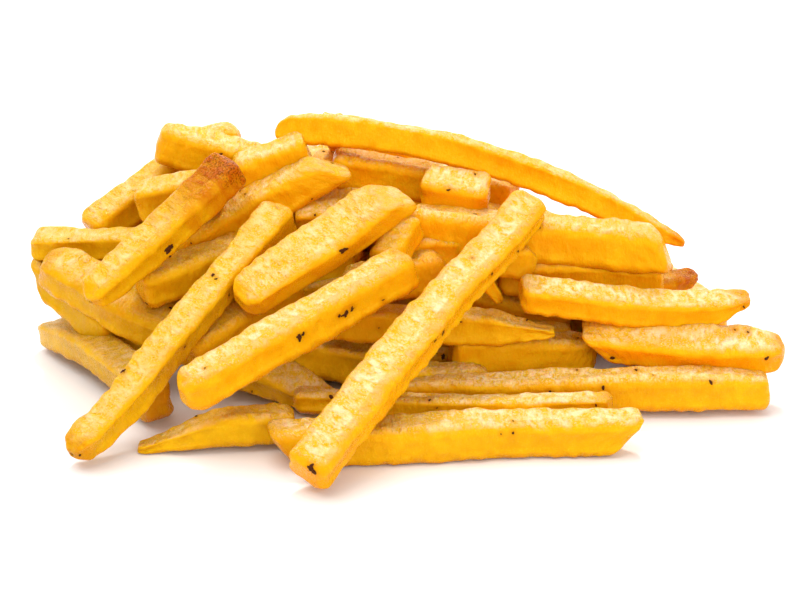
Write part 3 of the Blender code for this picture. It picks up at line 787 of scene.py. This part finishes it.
# %% Where the flecks lie
# The pixel where each one shows, and its radius in millimetres
FLECKS = [
    ((169, 250), 1.0), ((171, 246), 0.6), ((147, 304), 0.4), ((171, 308), 0.45), ((213, 275), 0.4),
    ((216, 279), 0.35), ((229, 295), 0.35), ((343, 251), 0.75), ((347, 249), 0.45), ((346, 313), 1.0),
    ((352, 308), 0.7), ((339, 316), 0.45), ((299, 337), 0.8), ((303, 334), 0.5), ((331, 397), 0.5),
    ((311, 468), 0.85), ((314, 472), 0.5), ((443, 333), 0.5), ((435, 341), 0.45), ((436, 354), 0.45),
    ((443, 356), 0.55), ((492, 274), 0.5), ((449, 190), 0.35), ((475, 174), 0.3), ((332, 163), 0.3),
    ((221, 154), 0.3), ((123, 371), 0.5), ((767, 358), 0.5), ((711, 382), 0.45), ((603, 388), 0.5),
    ((596, 405), 0.35), ((550, 392), 0.4), ((603, 363), 0.45), ((613, 358), 0.5), ((636, 370), 0.4),
    ((80, 455), 0.35), ((185, 347), 0.3), ((196, 416), 0.35), ((513, 433), 0.3), ((245, 194), 0.3),
    ((383, 300), 0.3), ((501, 434), 0.2), ((513, 421), 0.25), ((437, 408), 0.2), ((430, 400), 0.3),
    ((461, 322), 0.25), ((516, 316), 0.25), ((527, 320), 0.25), ((312, 199), 0.2), ((315, 215), 0.25),
    ((240, 191), 0.25), ((191, 243), 0.2), ((379, 328), 0.2), ((578, 338), 0.3), ((748, 332), 0.3),
    ((735, 330), 0.25), ((744, 307), 0.3), ((653, 375), 0.25), ((577, 370), 0.25), ((475, 214), 0.3),
    ((518, 251), 0.25), ((540, 228), 0.25), ((472, 258), 0.2), ((205, 368), 0.25), ((252, 392), 0.25),
]

skins = crusts + staves
joined = np.vstack([c.places for c in skins])
starts = np.cumsum([0] + [len(c.places) for c in skins])


def quads(crust):
    """The four-sided faces between the rings, as rows of point numbers."""
    ring, column = np.divmod(np.arange((crust.rings - 1) * crust.columns), crust.columns)
    beside = (column + 1) % crust.columns
    near, far = ring * crust.columns, (ring + 1) * crust.columns
    return np.column_stack([near + column, near + beside, far + beside, far + column])


surface = BVHTree.FromPolygons(joined.tolist(),
                               np.vstack([quads(c) + s for c, s in zip(skins, starts)]).tolist())
flecks = []
for pixel, radius in FLECKS:
    spot, normal, *_ = surface.ray_cast(Vector(eye), Vector(line_of_sight(pixel)))
    if spot is not None:
        flecks.append((np.array(spot), np.array(normal), radius))
print(len(flecks), "flecks of", len(FLECKS), "found a fry")

# %% The flecks on the other sides
HIDDEN_FLECKS = 70
HIDDEN_RADII = (0.2, 0.5)
FLECK_SEED = 21

draw = np.random.default_rng(FLECK_SEED)
hidden = np.vstack([c.places for c in crusts[len(SHOWN):]])
centre = np.array([*CORE_MIDDLE, 0]) + HEAP_SHIFT
for place in hidden[draw.integers(len(hidden), size=HIDDEN_FLECKS)]:
    outward = place - centre
    spot, normal, *_ = surface.ray_cast(Vector(place + outward), Vector(-outward))
    if spot is not None:
        flecks.append((np.array(spot), np.array(normal), draw.uniform(*HIDDEN_RADII)))
print(len(flecks), "flecks in all")

# %% Large flecks as clusters of crumbs
# From which radius a fleck is a cluster, of how many crumbs, how far apart and how large they are
CLUSTER_FROM, CLUSTER = 0.55, 6
CLUSTER_SPREAD = 0.4
CLUSTER_SIZES = (0.35, 0.75)

crumbs = []
for spot, normal, radius in flecks:
    if radius < CLUSTER_FROM:
        crumbs.append((spot, normal, radius))
        continue
    for _ in range(CLUSTER):
        aside = np.cross(normal, draw.normal(size=3))
        beside = spot + aside * radius * CLUSTER_SPREAD
        crumbs.append((beside, normal, radius * draw.uniform(*CLUSTER_SIZES)))
print(len(crumbs), "crumbs")

# %% Their mesh
CRUMB_LENGTHS, CRUMB_WIDTHS, CRUMB_FLATNESS = (0.9, 1.4), (0.6, 0.9), 0.26
CRUMB_LUMPS, CRUMB_LUMP_WIDTH = 0.7, 0.6
CRUMB_SEED = 22


def fleck_mesh():
    """All the flecks as one mesh of small flattened lumps."""
    bm = bmesh.new()
    lump = np.random.default_rng(CRUMB_SEED)
    for spot, normal, radius in crumbs:
        made = bmesh.ops.create_icosphere(bm, subdivisions=2, radius=1)["verts"]
        turned = Vector(normal).to_track_quat("Z", "Y").to_matrix()
        turned = np.array(turned) @ np.array(Matrix.Rotation(lump.uniform(0, 2 * math.pi), 3, "Z"))
        sizes = [lump.uniform(*CRUMB_LENGTHS), lump.uniform(*CRUMB_WIDTHS), CRUMB_FLATNESS]
        places = np.array([v.co for v in made])
        places *= (1 + CRUMB_LUMPS * uneven(places + lump.uniform(0, 90, 3), CRUMB_LUMP_WIDTH))[:, None]
        for vert, place in zip(made, (places * (radius * np.array(sizes))) @ turned.T + spot):
            vert.co = Vector(place) * MM
    mesh = bpy.data.meshes.new("charred_flecks")
    bm.to_mesh(mesh)
    bm.free()
    return mesh


fleck_piece = bpy.data.objects.new("charred_flecks", fleck_mesh())
bpy.context.scene.collection.objects.link(fleck_piece)
print(len(fleck_piece.data.polygons), "triangles of flecks")

# %% [markdown]
# ## Browning, painted sheen and painted shade
#
# Fat browns what sticks out: the tips first, then the edges. Five numbers at each point of the crust
# carry the colour to the material: how brown a tip is, how near an edge the point is, how deep the
# colour of the whole fry is, how much painted sheen a face that looks up gets, and how much painted
# shade a face that looks down gets. The fries on the right are more orange than the ones at the lower
# left.

# %% Brown tips
# For each end, left and right, how brown it is and how far in that reaches, in millimetres
BROWN = {
    "browned_end": (0, 0, 1.0, 15), "right_brown_tip": (0, 0, 0.9, 7), "left_long": (0.35, 3, 0.1, 3),
    "left_round_end": (0.35, 3, 0, 1), "floor_left": (0.2, 4, 0.5, 5), "top_long": (0, 1, 0.45, 5),
    "right_third": (0, 1, 0.35, 4), "right_upper": (0.2, 3, 0.3, 3), "front_floor": (0.3, 3, 0, 1),
    "front_second": (0, 1, 0.2, 3), "middle_round_end": (0, 1, 0.35, 4), "front_thin": (0, 1, 0.35, 4),
}
OTHER_TIPS, OTHER_REACH = (0, 0.15), 3
RAGGED_TIP, RAGGED_TIP_WIDTH = 0.5, 3

# How brown the crust is at a fleck, how far that reaches beyond it and how quickly it fades
HALO, HALO_REACH, HALO_FADE = 0.5, 0.7, 1.6


def browned(crust):
    """How brown each point is, from 0 to 1."""
    if crust.name in BROWN:
        left, left_reach, right, right_reach = BROWN[crust.name]
    else:
        left, right = np.random.default_rng(len(crust.places)).uniform(*OTHER_TIPS, 2)
        left_reach, right_reach = OTHER_REACH, OTHER_REACH
    ragged = 1 + RAGGED_TIP * uneven(crust.inner, RAGGED_TIP_WIDTH)
    shade = (left * np.exp(-(crust.ends[:, 0] / max(left_reach, 1) / ragged) ** 2)
             + right * np.exp(-(crust.ends[:, 1] / max(right_reach, 1) / ragged) ** 2))
    for spot, _, radius in flecks:
        away = np.linalg.norm(crust.places - spot, axis=1) / (radius + HALO_REACH)
        shade = np.maximum(shade, HALO * np.exp(-away ** 2 * HALO_FADE))
    return shade


print("the browned end is", browned(crusts[names.index("browned_end")]).max().round(2), "brown")

# %% The colour of a whole fry
# The colour deepens to the right and upwards, and the painted sheen on the tops grows to the right,
# by so much for each millimetre. OWN_SHADE is how far a fry differs from its neighbours
OWN_SHADE = 0.12
DEEP, DEEP_RIGHTWARD, DEEP_UPWARD = 0.25, 0.005, 0.01
SHEEN_TOP, SHEEN_RIGHTWARD, SHEEN_LEAST = 0.8, 0.003, 0.2
DEEP_SEED, SHEEN_SEED = 500, 700

# How much more painted sheen the tops of some fries get than the others', and how golden the edges
# of some are
MORE_PAINTED_SHEEN = {
    "top_block": 0.4, "right_upper": 0.15, "front_diagonal": 0.15, "front_second": 0.1,
    "right_floor": 0.1, "front_thin": 0.15, "middle_pale_upper": 0.3, "middle_pale_lower": 0.3,
    "top_long": -0.25,
}
GOLDEN_EDGES = {
    "front_diagonal": 0.8, "front_second": 0.8, "left_long": 0.7, "browned_end": 0.8,
    "middle_broad": 0.6, "slanting_top": 0.5, "left_round_end": 0.5,
}
OTHER_EDGES = 0.25


def depth_of_colour(crust, number):
    """How deep the colour of a fry is, from 0 for ochre to 1 for orange."""
    middle = crust.places.mean(axis=0)
    own = np.random.default_rng(DEEP_SEED + number).uniform(-OWN_SHADE, OWN_SHADE)
    return float(np.clip(DEEP + DEEP_RIGHTWARD * middle[0] + DEEP_UPWARD * middle[2] + own, 0, 1))


def painted_sheen_of(crust, number):
    """How much painted sheen the upward faces of a fry get, from 0 for as deep as its sides to 1 for
    cream.
    """
    middle = crust.places.mean(axis=0)
    own = np.random.default_rng(SHEEN_SEED + number).uniform(-OWN_SHADE, OWN_SHADE)
    pale = SHEEN_TOP + SHEEN_RIGHTWARD * middle[0] + own + MORE_PAINTED_SHEEN.get(crust.name, 0)
    return float(np.clip(pale, SHEEN_LEAST, 1))


print("depth of colour from", round(min(depth_of_colour(c, k) for k, c in enumerate(skins)), 2),
      "to", round(max(depth_of_colour(c, k) for k, c in enumerate(skins)), 2))

# %% [markdown]
# A top that another fry covers gets less painted sheen and stays golden: painted shade where the light
# that the sheen stands for can't reach. Rays cast upwards from the crust find out which tops those are.

# %% Open to the sky
# Four ways up, how far over the crust the rays start so that they miss its own blisters, and how far
# away a fry still counts as a cover, in millimetres
SKYWARD = [Vector(way) for way in ((0, 0, 1), (0.5, -0.4, 0.8), (-0.5, -0.4, 0.8), (0, 0.6, 0.8))]
CLEAR_OF_CRUST = 1.2
COVER_REACH = 14


def open_to_sky(places, asked):
    """The share of four ways up that no fry covers. Only the points that are asked about are tried."""
    seen = np.ones(len(places))
    for k in np.flatnonzero(asked):
        start = Vector(places[k]) + CLEAR_OF_CRUST * SKYWARD[0]
        seen[k] = np.mean([surface.ray_cast(start, way, COVER_REACH)[0] is None for way in SKYWARD])
    return seen


print("a point over the heap sees", open_to_sky(np.array([[0, 0, 90.0]]), [True])[0])

# %% The five numbers
# How much painted sheen a covered top still keeps, which slopes count as facing up or down, by the
# height of their normal, and from which strength of painted sheen it is worth asking for the sky
SHEEN_UNDER_COVER = 0.25
UPWARD_FROM, UPWARD_TO = 0.5, 0.9
DOWNWARD_FROM, DOWNWARD_TO = 0.35, -0.75
WORTH_ASKING = 0.02


def colour_numbers(mesh, kind):
    """Writes the five numbers at each point of a mesh that joins the fries of one kind."""
    upward = np.array([normal.vector.z for normal in mesh.vertex_normals])
    places = np.vstack([crust.places for _, crust in kind])
    size = [len(crust.places) for _, crust in kind]
    # pale is painted sheen: cream laid on the faces that look up, less where a fry covers them
    pale = np.repeat([painted_sheen_of(crust, number) for number, crust in kind], size)
    pale = pale * ramp(upward - UPWARD_FROM, UPWARD_TO - UPWARD_FROM)
    pale *= SHEEN_UNDER_COVER + (1 - SHEEN_UNDER_COVER) * open_to_sky(places, pale > WORTH_ASKING)
    numbers = {
        "browned": np.concatenate([browned(crust) for _, crust in kind]),
        "edge": np.concatenate([c.edge * GOLDEN_EDGES.get(c.name, OTHER_EDGES) for _, c in kind]),
        "depth": np.repeat([depth_of_colour(crust, number) for number, crust in kind], size),
        "pale": pale,
        # low is painted shade: deeper colour on the faces that look down
        "low": ramp(DOWNWARD_FROM - upward, DOWNWARD_FROM - DOWNWARD_TO),
    }
    for attribute, values in numbers.items():
        mesh.attributes.new(attribute, "FLOAT", "POINT").data.foreach_set("value", values)


slope = math.degrees(math.acos(UPWARD_FROM))
print("a face looks up when it slopes by less than", round(slope), "degrees")

# %% [markdown]
# ## Pieces by kind
#
# Fries of one kind make one mesh, so the heap is a handful of pieces and not ninety. Each skin is
# unrolled into a strip on the UV map, and the strips are laid on shelves, so textures baked onto it
# have the same detail everywhere and no stretching.

# %% Strips on shelves
STRIP_GAP = 1.5
SPARE = 1.1


def shelves(sizes):
    """Puts strips on shelves. Returns where each starts and how wide the square is."""
    wide = max(max(s[0] for s in sizes) + STRIP_GAP, math.sqrt(SPARE * sum(s[0] * s[1] for s in sizes)))
    starts, x, y, shelf = {}, 0, 0, 0
    for k in sorted(range(len(sizes)), key=lambda k: -sizes[k][1]):
        length, height = sizes[k]
        if x + length + STRIP_GAP > wide:
            x, y, shelf = 0, y + shelf, 0
        starts[k] = (x, y)
        x += length + STRIP_GAP
        shelf = max(shelf, height + STRIP_GAP)
    return starts, max(wide, y + shelf)


print("three strips:", shelves([(60, 30), (50, 28), (40, 30)]))

# %% A skin unrolled
def end_faces(crust):
    """The point numbers of the two faces that close a skin."""
    ring = np.arange(crust.columns)
    return ring[::-1], ring + (crust.rings - 1) * crust.columns


def unrolled(crust, x, y):
    """Where the corners of a skin's faces lie on the UV map, in millimetres, from x and y."""
    ring, column = np.divmod(np.arange((crust.rings - 1) * crust.columns), crust.columns)
    u = crust.along[np.column_stack([ring, ring, ring + 1, ring + 1])] + x
    v = crust.round[np.column_stack([column, column + 1, column + 1, column])] + y
    strips = [np.stack([u, v], axis=2).reshape(-1, 2)]
    for at, cap in zip((crust.along[0], crust.along[-1]), end_faces(crust)):
        around = crust.round[cap % crust.columns] + y
        strips.append(np.column_stack([np.full(len(cap), at) + x, around]))
    return np.vstack(strips)


print(len(unrolled(one, 0, 0)), "corners of faces on one strip")

# %% One mesh for one kind
def kind_mesh(name, kind):
    """Joins the fries of one kind into one mesh with its unrolled strips and its colour numbers."""
    starts, wide = shelves([(c.along[-1], c.round[-1]) for _, c in kind])
    faces, strips, first = [], [], 0
    for k, (_, crust) in enumerate(kind):
        faces += (quads(crust) + first).tolist() + [(cap + first).tolist() for cap in end_faces(crust)]
        strips.append(unrolled(crust, *starts[k]) / wide)
        first += len(crust.places)
    mesh = bpy.data.meshes.new(name)
    mesh.from_pydata(np.vstack([crust.places * MM for _, crust in kind]).tolist(), [], faces)
    mesh.uv_layers.new(name="OFBake").uv.foreach_set("vector", np.vstack(strips).ravel())
    place = mesh.attributes.new("place", "FLOAT_VECTOR", "POINT")
    place.data.foreach_set("vector", np.vstack([c.inner for _, c in kind]).ravel())
    colour_numbers(mesh, kind)
    return mesh


THIN_BELOW = 9


def kind_of(crust):
    """The kind of fry: how its ends are cut and whether it shows."""
    if crust.name.startswith("stave"):
        return "inner_fries"
    if crust.name not in SHOWN:
        return "back_fries"
    ends = SHOWN[crust.name].ends
    if {"wedge", "keel", "point"} & set(ends):
        return "tapered_fries"
    if "round" in ends:
        return "round_ended_fries"
    if {"slant", "under", "lean"} & set(ends):
        return "slanting_fries"
    return "square_cut_fries" if SHOWN[crust.name].side[0] >= THIN_BELOW else "thin_cut_fries"


kinds = {}
for number, crust in enumerate(skins):
    kinds.setdefault(kind_of(crust), []).append((number, crust))
pieces = []
for name, kind in kinds.items():
    piece = bpy.data.objects.new(name, kind_mesh(name, kind))
    bpy.context.scene.collection.objects.link(piece)
    pieces.append(piece)
    print(name, len(kind), "fries,", sum(len(p.vertices) - 2 for p in piece.data.polygons), "triangles")

# %% [markdown]
# ## The material of the crust
#
# The crust is starch, dried and browned by the fat, with a film of fat on it. It is pale gold, deeper
# on the edges, and light enters it: that is why the gaps glow orange. So the material has light under
# the skin, a colour that varies over millimetres, and a rough skin with a soft gloss. Three scales of
# detail come from real sizes: patches of 5 mm, blisters of 1.5 mm and grains of 0.45 mm. Real
# grains are finer still, and are drawn this coarse so that they show in the picture.

# %% Colours and nodes
def linear(code):
    """Turns an sRGB hex colour into the linear one that Blender's sockets take."""
    parts = [int(code[k:k + 2], 16) / 255 for k in (1, 3, 5)]
    return (*(c / 12.92 if c <= 0.04045 else ((c + 0.055) / 1.055) ** 2.4 for c in parts), 1)


def add(tree, kind, inputs=None, **settings):
    """Adds a node with its settings. An input is linked to a socket or takes a value or hex colour."""
    node = tree.nodes.new(kind)
    for name, value in settings.items():
        setattr(node, name, value)
    for name, value in (inputs or {}).items():
        if isinstance(value, bpy.types.NodeSocket):
            tree.links.new(value, node.inputs[name])
        else:
            node.inputs[name].default_value = linear(value) if isinstance(value, str) else value
    return node


def blank(name):
    """A material with only its output and a Principled shader."""
    material = bpy.data.materials.new(name)
    material.use_nodes = True
    return material, material.node_tree, material.node_tree.nodes["Principled BSDF"]


print("pale crust", [round(c, 2) for c in linear("#F6CC6A")])

# %% What the crust knows about each point
PATCH, BLISTERED, GRAIN = 5.0, 1.5, 0.45

crust_finish, tree, shader = blank("fried potato crust")
place = add(tree, "ShaderNodeAttribute", attribute_name="place").outputs["Vector"]
# pale carries the painted sheen on upward faces, low the painted shade on downward ones
tip, edge, depth, pale, low = [
    add(tree, "ShaderNodeAttribute", attribute_name=name).outputs["Fac"]
    for name in ("browned", "edge", "depth", "pale", "low")
]


def pattern(width, detail=2.0, across=1):
    """Noise over the crust, its bumps this many millimetres wide, and longer across the fry."""
    drawn = add(tree, "ShaderNodeVectorMath", {0: place, 1: (1, 1 / across, 1 / across)},
                operation="MULTIPLY").outputs["Vector"]
    return add(tree, "ShaderNodeTexNoise", {"Vector": drawn, "Scale": 1 / width, "Detail": detail,
                                            "Roughness": 0.6}).outputs["Fac"]


patches, blisters, grains = pattern(PATCH), pattern(BLISTERED, across=1.8), pattern(GRAIN, 3.0)
print(len(tree.nodes), "nodes before any colour")

# %% Fried potato crust
OCHRE, ORANGE, GOLD, PALE = "#DAA606", "#FFAA02", "#F2BC0C", "#FCCA30"
# The cream is painted sheen and painted glints on the upward faces, with glassy gold between them
SHEEN_CREAM, GLASSY = "#FFE0AE", "#E8B41A"
# The two low colours are painted shade for the faces that look down
SHADED_OCHRE, SHADED_ORANGE = "#C68602", "#F28800"
EDGE_BROWN, TIP_BROWN, CHAR = "#E29C00", "#BC5A00", "#341606"


def laid_over(below, above, where, span, shares=(0, 1), times=1.0):
    """Lays a colour over another. Its share goes from the first to the second of the shares as the
    pattern goes over its span, and it is multiplied by times."""
    share = add(tree, "ShaderNodeMapRange", {
        "Value": where, "From Min": span[0], "From Max": span[1],
        "To Min": shares[0], "To Max": shares[1],
    }).outputs["Result"]
    share = add(tree, "ShaderNodeMath", {0: share, 1: times}, operation="MULTIPLY").outputs["Value"]
    return add(tree, "ShaderNodeMix", {0: share, 6: below, 7: above}, data_type="RGBA").outputs[2]


# The fry's own colour, painted shade on the faces that look down, painted sheen and painted glints in
# cream on the tops that look up, and then what the fat browned
body = laid_over(OCHRE, ORANGE, depth, (0.1, 0.9))
body = laid_over(body, GOLD, patches, (0.35, 0.65), (0, 0.6))
body = laid_over(body, PALE, grains, (0.5, 0.7), (0, 0.45))
# Painted shade: the faces that look down take deeper colours
lower = laid_over(SHADED_OCHRE, SHADED_ORANGE, depth, (0.1, 0.8))
body = laid_over(body, lower, patches, (0.3, 0.7), (0.95, 0.6), low)
# The tops: painted sheen in cream, with painted glints in cream on the blisters and grains
upper = laid_over(GLASSY, SHEEN_CREAM, blisters, (0.42, 0.62))
upper = laid_over(upper, GLASSY, patches, (0.38, 0.52), (0.6, 0))
upper = laid_over(upper, SHEEN_CREAM, grains, (0.5, 0.62), (0, 0.7))
body = laid_over(body, upper, tip, (0, 0.5), (1, 0), pale)
body = laid_over(body, EDGE_BROWN, blisters, (0.35, 0.6), (0.1, 0.7), edge)
body = laid_over(body, TIP_BROWN, blisters, (0.3, 0.7), (0.7, 1.3), tip)
scorched = add(tree, "ShaderNodeMapRange", {"Value": tip, "From Min": 0.75}).outputs["Result"]
body = laid_over(body, CHAR, grains, (0.5, 0.62), (0, 0.8), scorched)
tree.links.new(body, shader.inputs["Base Color"])
print(len(tree.nodes), "nodes in the crust")

# %% Its skin and its gloss
# Light goes about a millimetre into potato, and red goes deepest. The film of fat has the index of an
# oil and a golden gloss, and the grains keep it rough
shader.inputs["Subsurface Weight"].default_value = 0.5
shader.inputs["Subsurface Radius"].default_value = (1.0, 0.5, 0.1)
shader.inputs["Subsurface Scale"].default_value = 1.5 * MM
shader.inputs["IOR"].default_value = 1.45
shader.inputs["Specular IOR Level"].default_value = 0.28
shader.inputs["Specular Tint"].default_value = linear("#FFD070")
gloss = add(tree, "ShaderNodeMapRange", {"Value": grains, "From Min": 0.4, "From Max": 0.62,
                                         "To Min": 0.36, "To Max": 0.15}).outputs["Result"]
relief = add(tree, "ShaderNodeMapRange", {"Value": pale, "From Max": 0.4,
                                          "To Min": 0.35}).outputs["Result"]
blistered = add(tree, "ShaderNodeBump", {"Height": blisters, "Distance": 1.5 * MM,
                                         "Strength": relief}).outputs["Normal"]
grained = add(tree, "ShaderNodeBump", {"Height": grains, "Distance": 0.5 * MM, "Strength": relief,
                                       "Normal": blistered}).outputs["Normal"]
tree.links.new(gloss, shader.inputs["Roughness"])
tree.links.new(grained, shader.inputs["Normal"])
print("the crust has", len(tree.links), "links")

# %% [markdown]
# The core stands for potato deep in the heap, and its orange brown is painted shade: it is coloured as
# if it only saw light that comes through the other fries, and it is dull. A charred crumb is burnt
# starch: nearly black, matt and rough, so hardly any light comes back from it.
# Both are mottled at one scale, so one function makes them.

# %% The core and the flecks
def mottled(name, dark, light, size, detail, roughness, height):
    """A material between two colours, mottled over this many millimetres and raised by so many."""
    finish, tree, shader = blank(name)
    here = add(tree, "ShaderNodeTexCoord").outputs["Object"]
    lumps = add(tree, "ShaderNodeTexNoise", {"Vector": here, "Scale": 1 / (size * MM),
                                             "Detail": detail}).outputs["Fac"]
    colour = add(tree, "ShaderNodeMix", {0: lumps, 6: dark, 7: light}, data_type="RGBA").outputs[2]
    raised = add(tree, "ShaderNodeBump", {"Height": lumps, "Distance": height * MM}).outputs["Normal"]
    tree.links.new(colour, shader.inputs["Base Color"])
    tree.links.new(raised, shader.inputs["Normal"])
    shader.inputs["Roughness"].default_value = roughness
    return finish, shader


# The core's orange brown is painted shade
shaded_core_finish, _ = mottled("potato in painted shade", "#B8660E", "#E09A22", 4, 3.0, 0.6, 0.6)
fleck_finish, shader = mottled("charred crumb", "#1E0C02", "#64300A", 0.5, 2.0, 0.8, 0.1)
shader.inputs["IOR"].default_value = 1.25
print("three materials")

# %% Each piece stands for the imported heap
finishes = [(piece, crust_finish) for piece in pieces]
finishes += [(core, shaded_core_finish), (fleck_piece, fleck_finish)]
for piece, finish in finishes:
    piece.data.materials.append(finish)
    piece.data.shade_smooth()
    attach(piece, "root")
    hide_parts("fries")
print(len(finishes), "pieces")

# %% [markdown]
# ## The table and the light
#
# The photograph shows the heap on plain white, lit softly from above. The tops of the fries are cream
# with a sheen, and their sides are golden. One large soft light hangs at the upper left. A window in
# front on the right opens up the sides, one behind gives the tops their sheen, a small lamp gives them
# their glints, and a white sky fills the shade. The table is white laminate, pressed to a satin.

# %% The table
TABLE_REACH = 3

table = bpy.data.objects.new("table_top", bpy.data.meshes.new("table_top"))
corners = [(x * TABLE_REACH, y * TABLE_REACH, 0) for x, y in ((-1, -1), (1, -1), (1, 1), (-1, 1))]
table.data.from_pydata(corners, [], [(0, 1, 2, 3)])
bpy.context.scene.collection.objects.link(table)
table_finish, tree, shader = blank("white laminate")
shader.inputs["Base Color"].default_value = linear("#FAFAFA")
shader.inputs["Roughness"].default_value = 0.6
table.data.materials.append(table_finish)
table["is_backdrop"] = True
print("the table is", 2 * TABLE_REACH, "m wide")

# %% The light
# Each light's size in metres, its power in watts, where it hangs and the point that it looks at
LIGHTS = {
    "overhead": ((0.9, 0.9), 7, (-0.3, -0.1, 0.9), (0, 0, 0.03)),
    "window in front": ((1.2, 0.7), 5.5, (0.4, -0.85, 0.45), (0.02, 0, 0.03)),
    "window behind": ((1.8, 0.9), 3.5, (0.1, 0.95, 0.5), (0, 0, 0.03)),
    "lamp": ((0.12, 0.12), 4, (0.05, 0.5, 0.74), (0, 0, 0.03)),
}
SKY_STRENGTH = 0.54

for name, (size, power, at, aim) in LIGHTS.items():
    lamp = bpy.data.lights.new(name, "AREA")
    lamp.shape = "RECTANGLE"
    lamp.size, lamp.size_y = size
    lamp.energy = power
    light = bpy.data.objects.new(name, lamp)
    light.location = at
    light.rotation_euler = (Vector(aim) - Vector(at)).to_track_quat("-Z", "Y").to_euler()
    bpy.context.scene.collection.objects.link(light)

sky = bpy.data.worlds.new("white room")
bpy.context.scene.world = sky
sky.use_nodes = True
sky.node_tree.nodes["Background"].inputs["Color"].default_value = (1, 1, 1, 1)
sky.node_tree.nodes["Background"].inputs["Strength"].default_value = SKY_STRENGTH
bpy.context.scene.view_settings.view_transform = "Standard"
print(len(LIGHTS), "lights and a white sky")

# %% [markdown]
# ## The size
#
# The crusted heap may stand a little proud of the solid, but not more than a few millimetres. Both
# boxes are printed.

# %% Both boxes
dressed_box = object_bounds()
for name, box in (("solid", solid_box), ("dressed", dressed_box)):
    print(name, [round(v / MM, 1) for v in box[0]], [round(v / MM, 1) for v in box[1]])
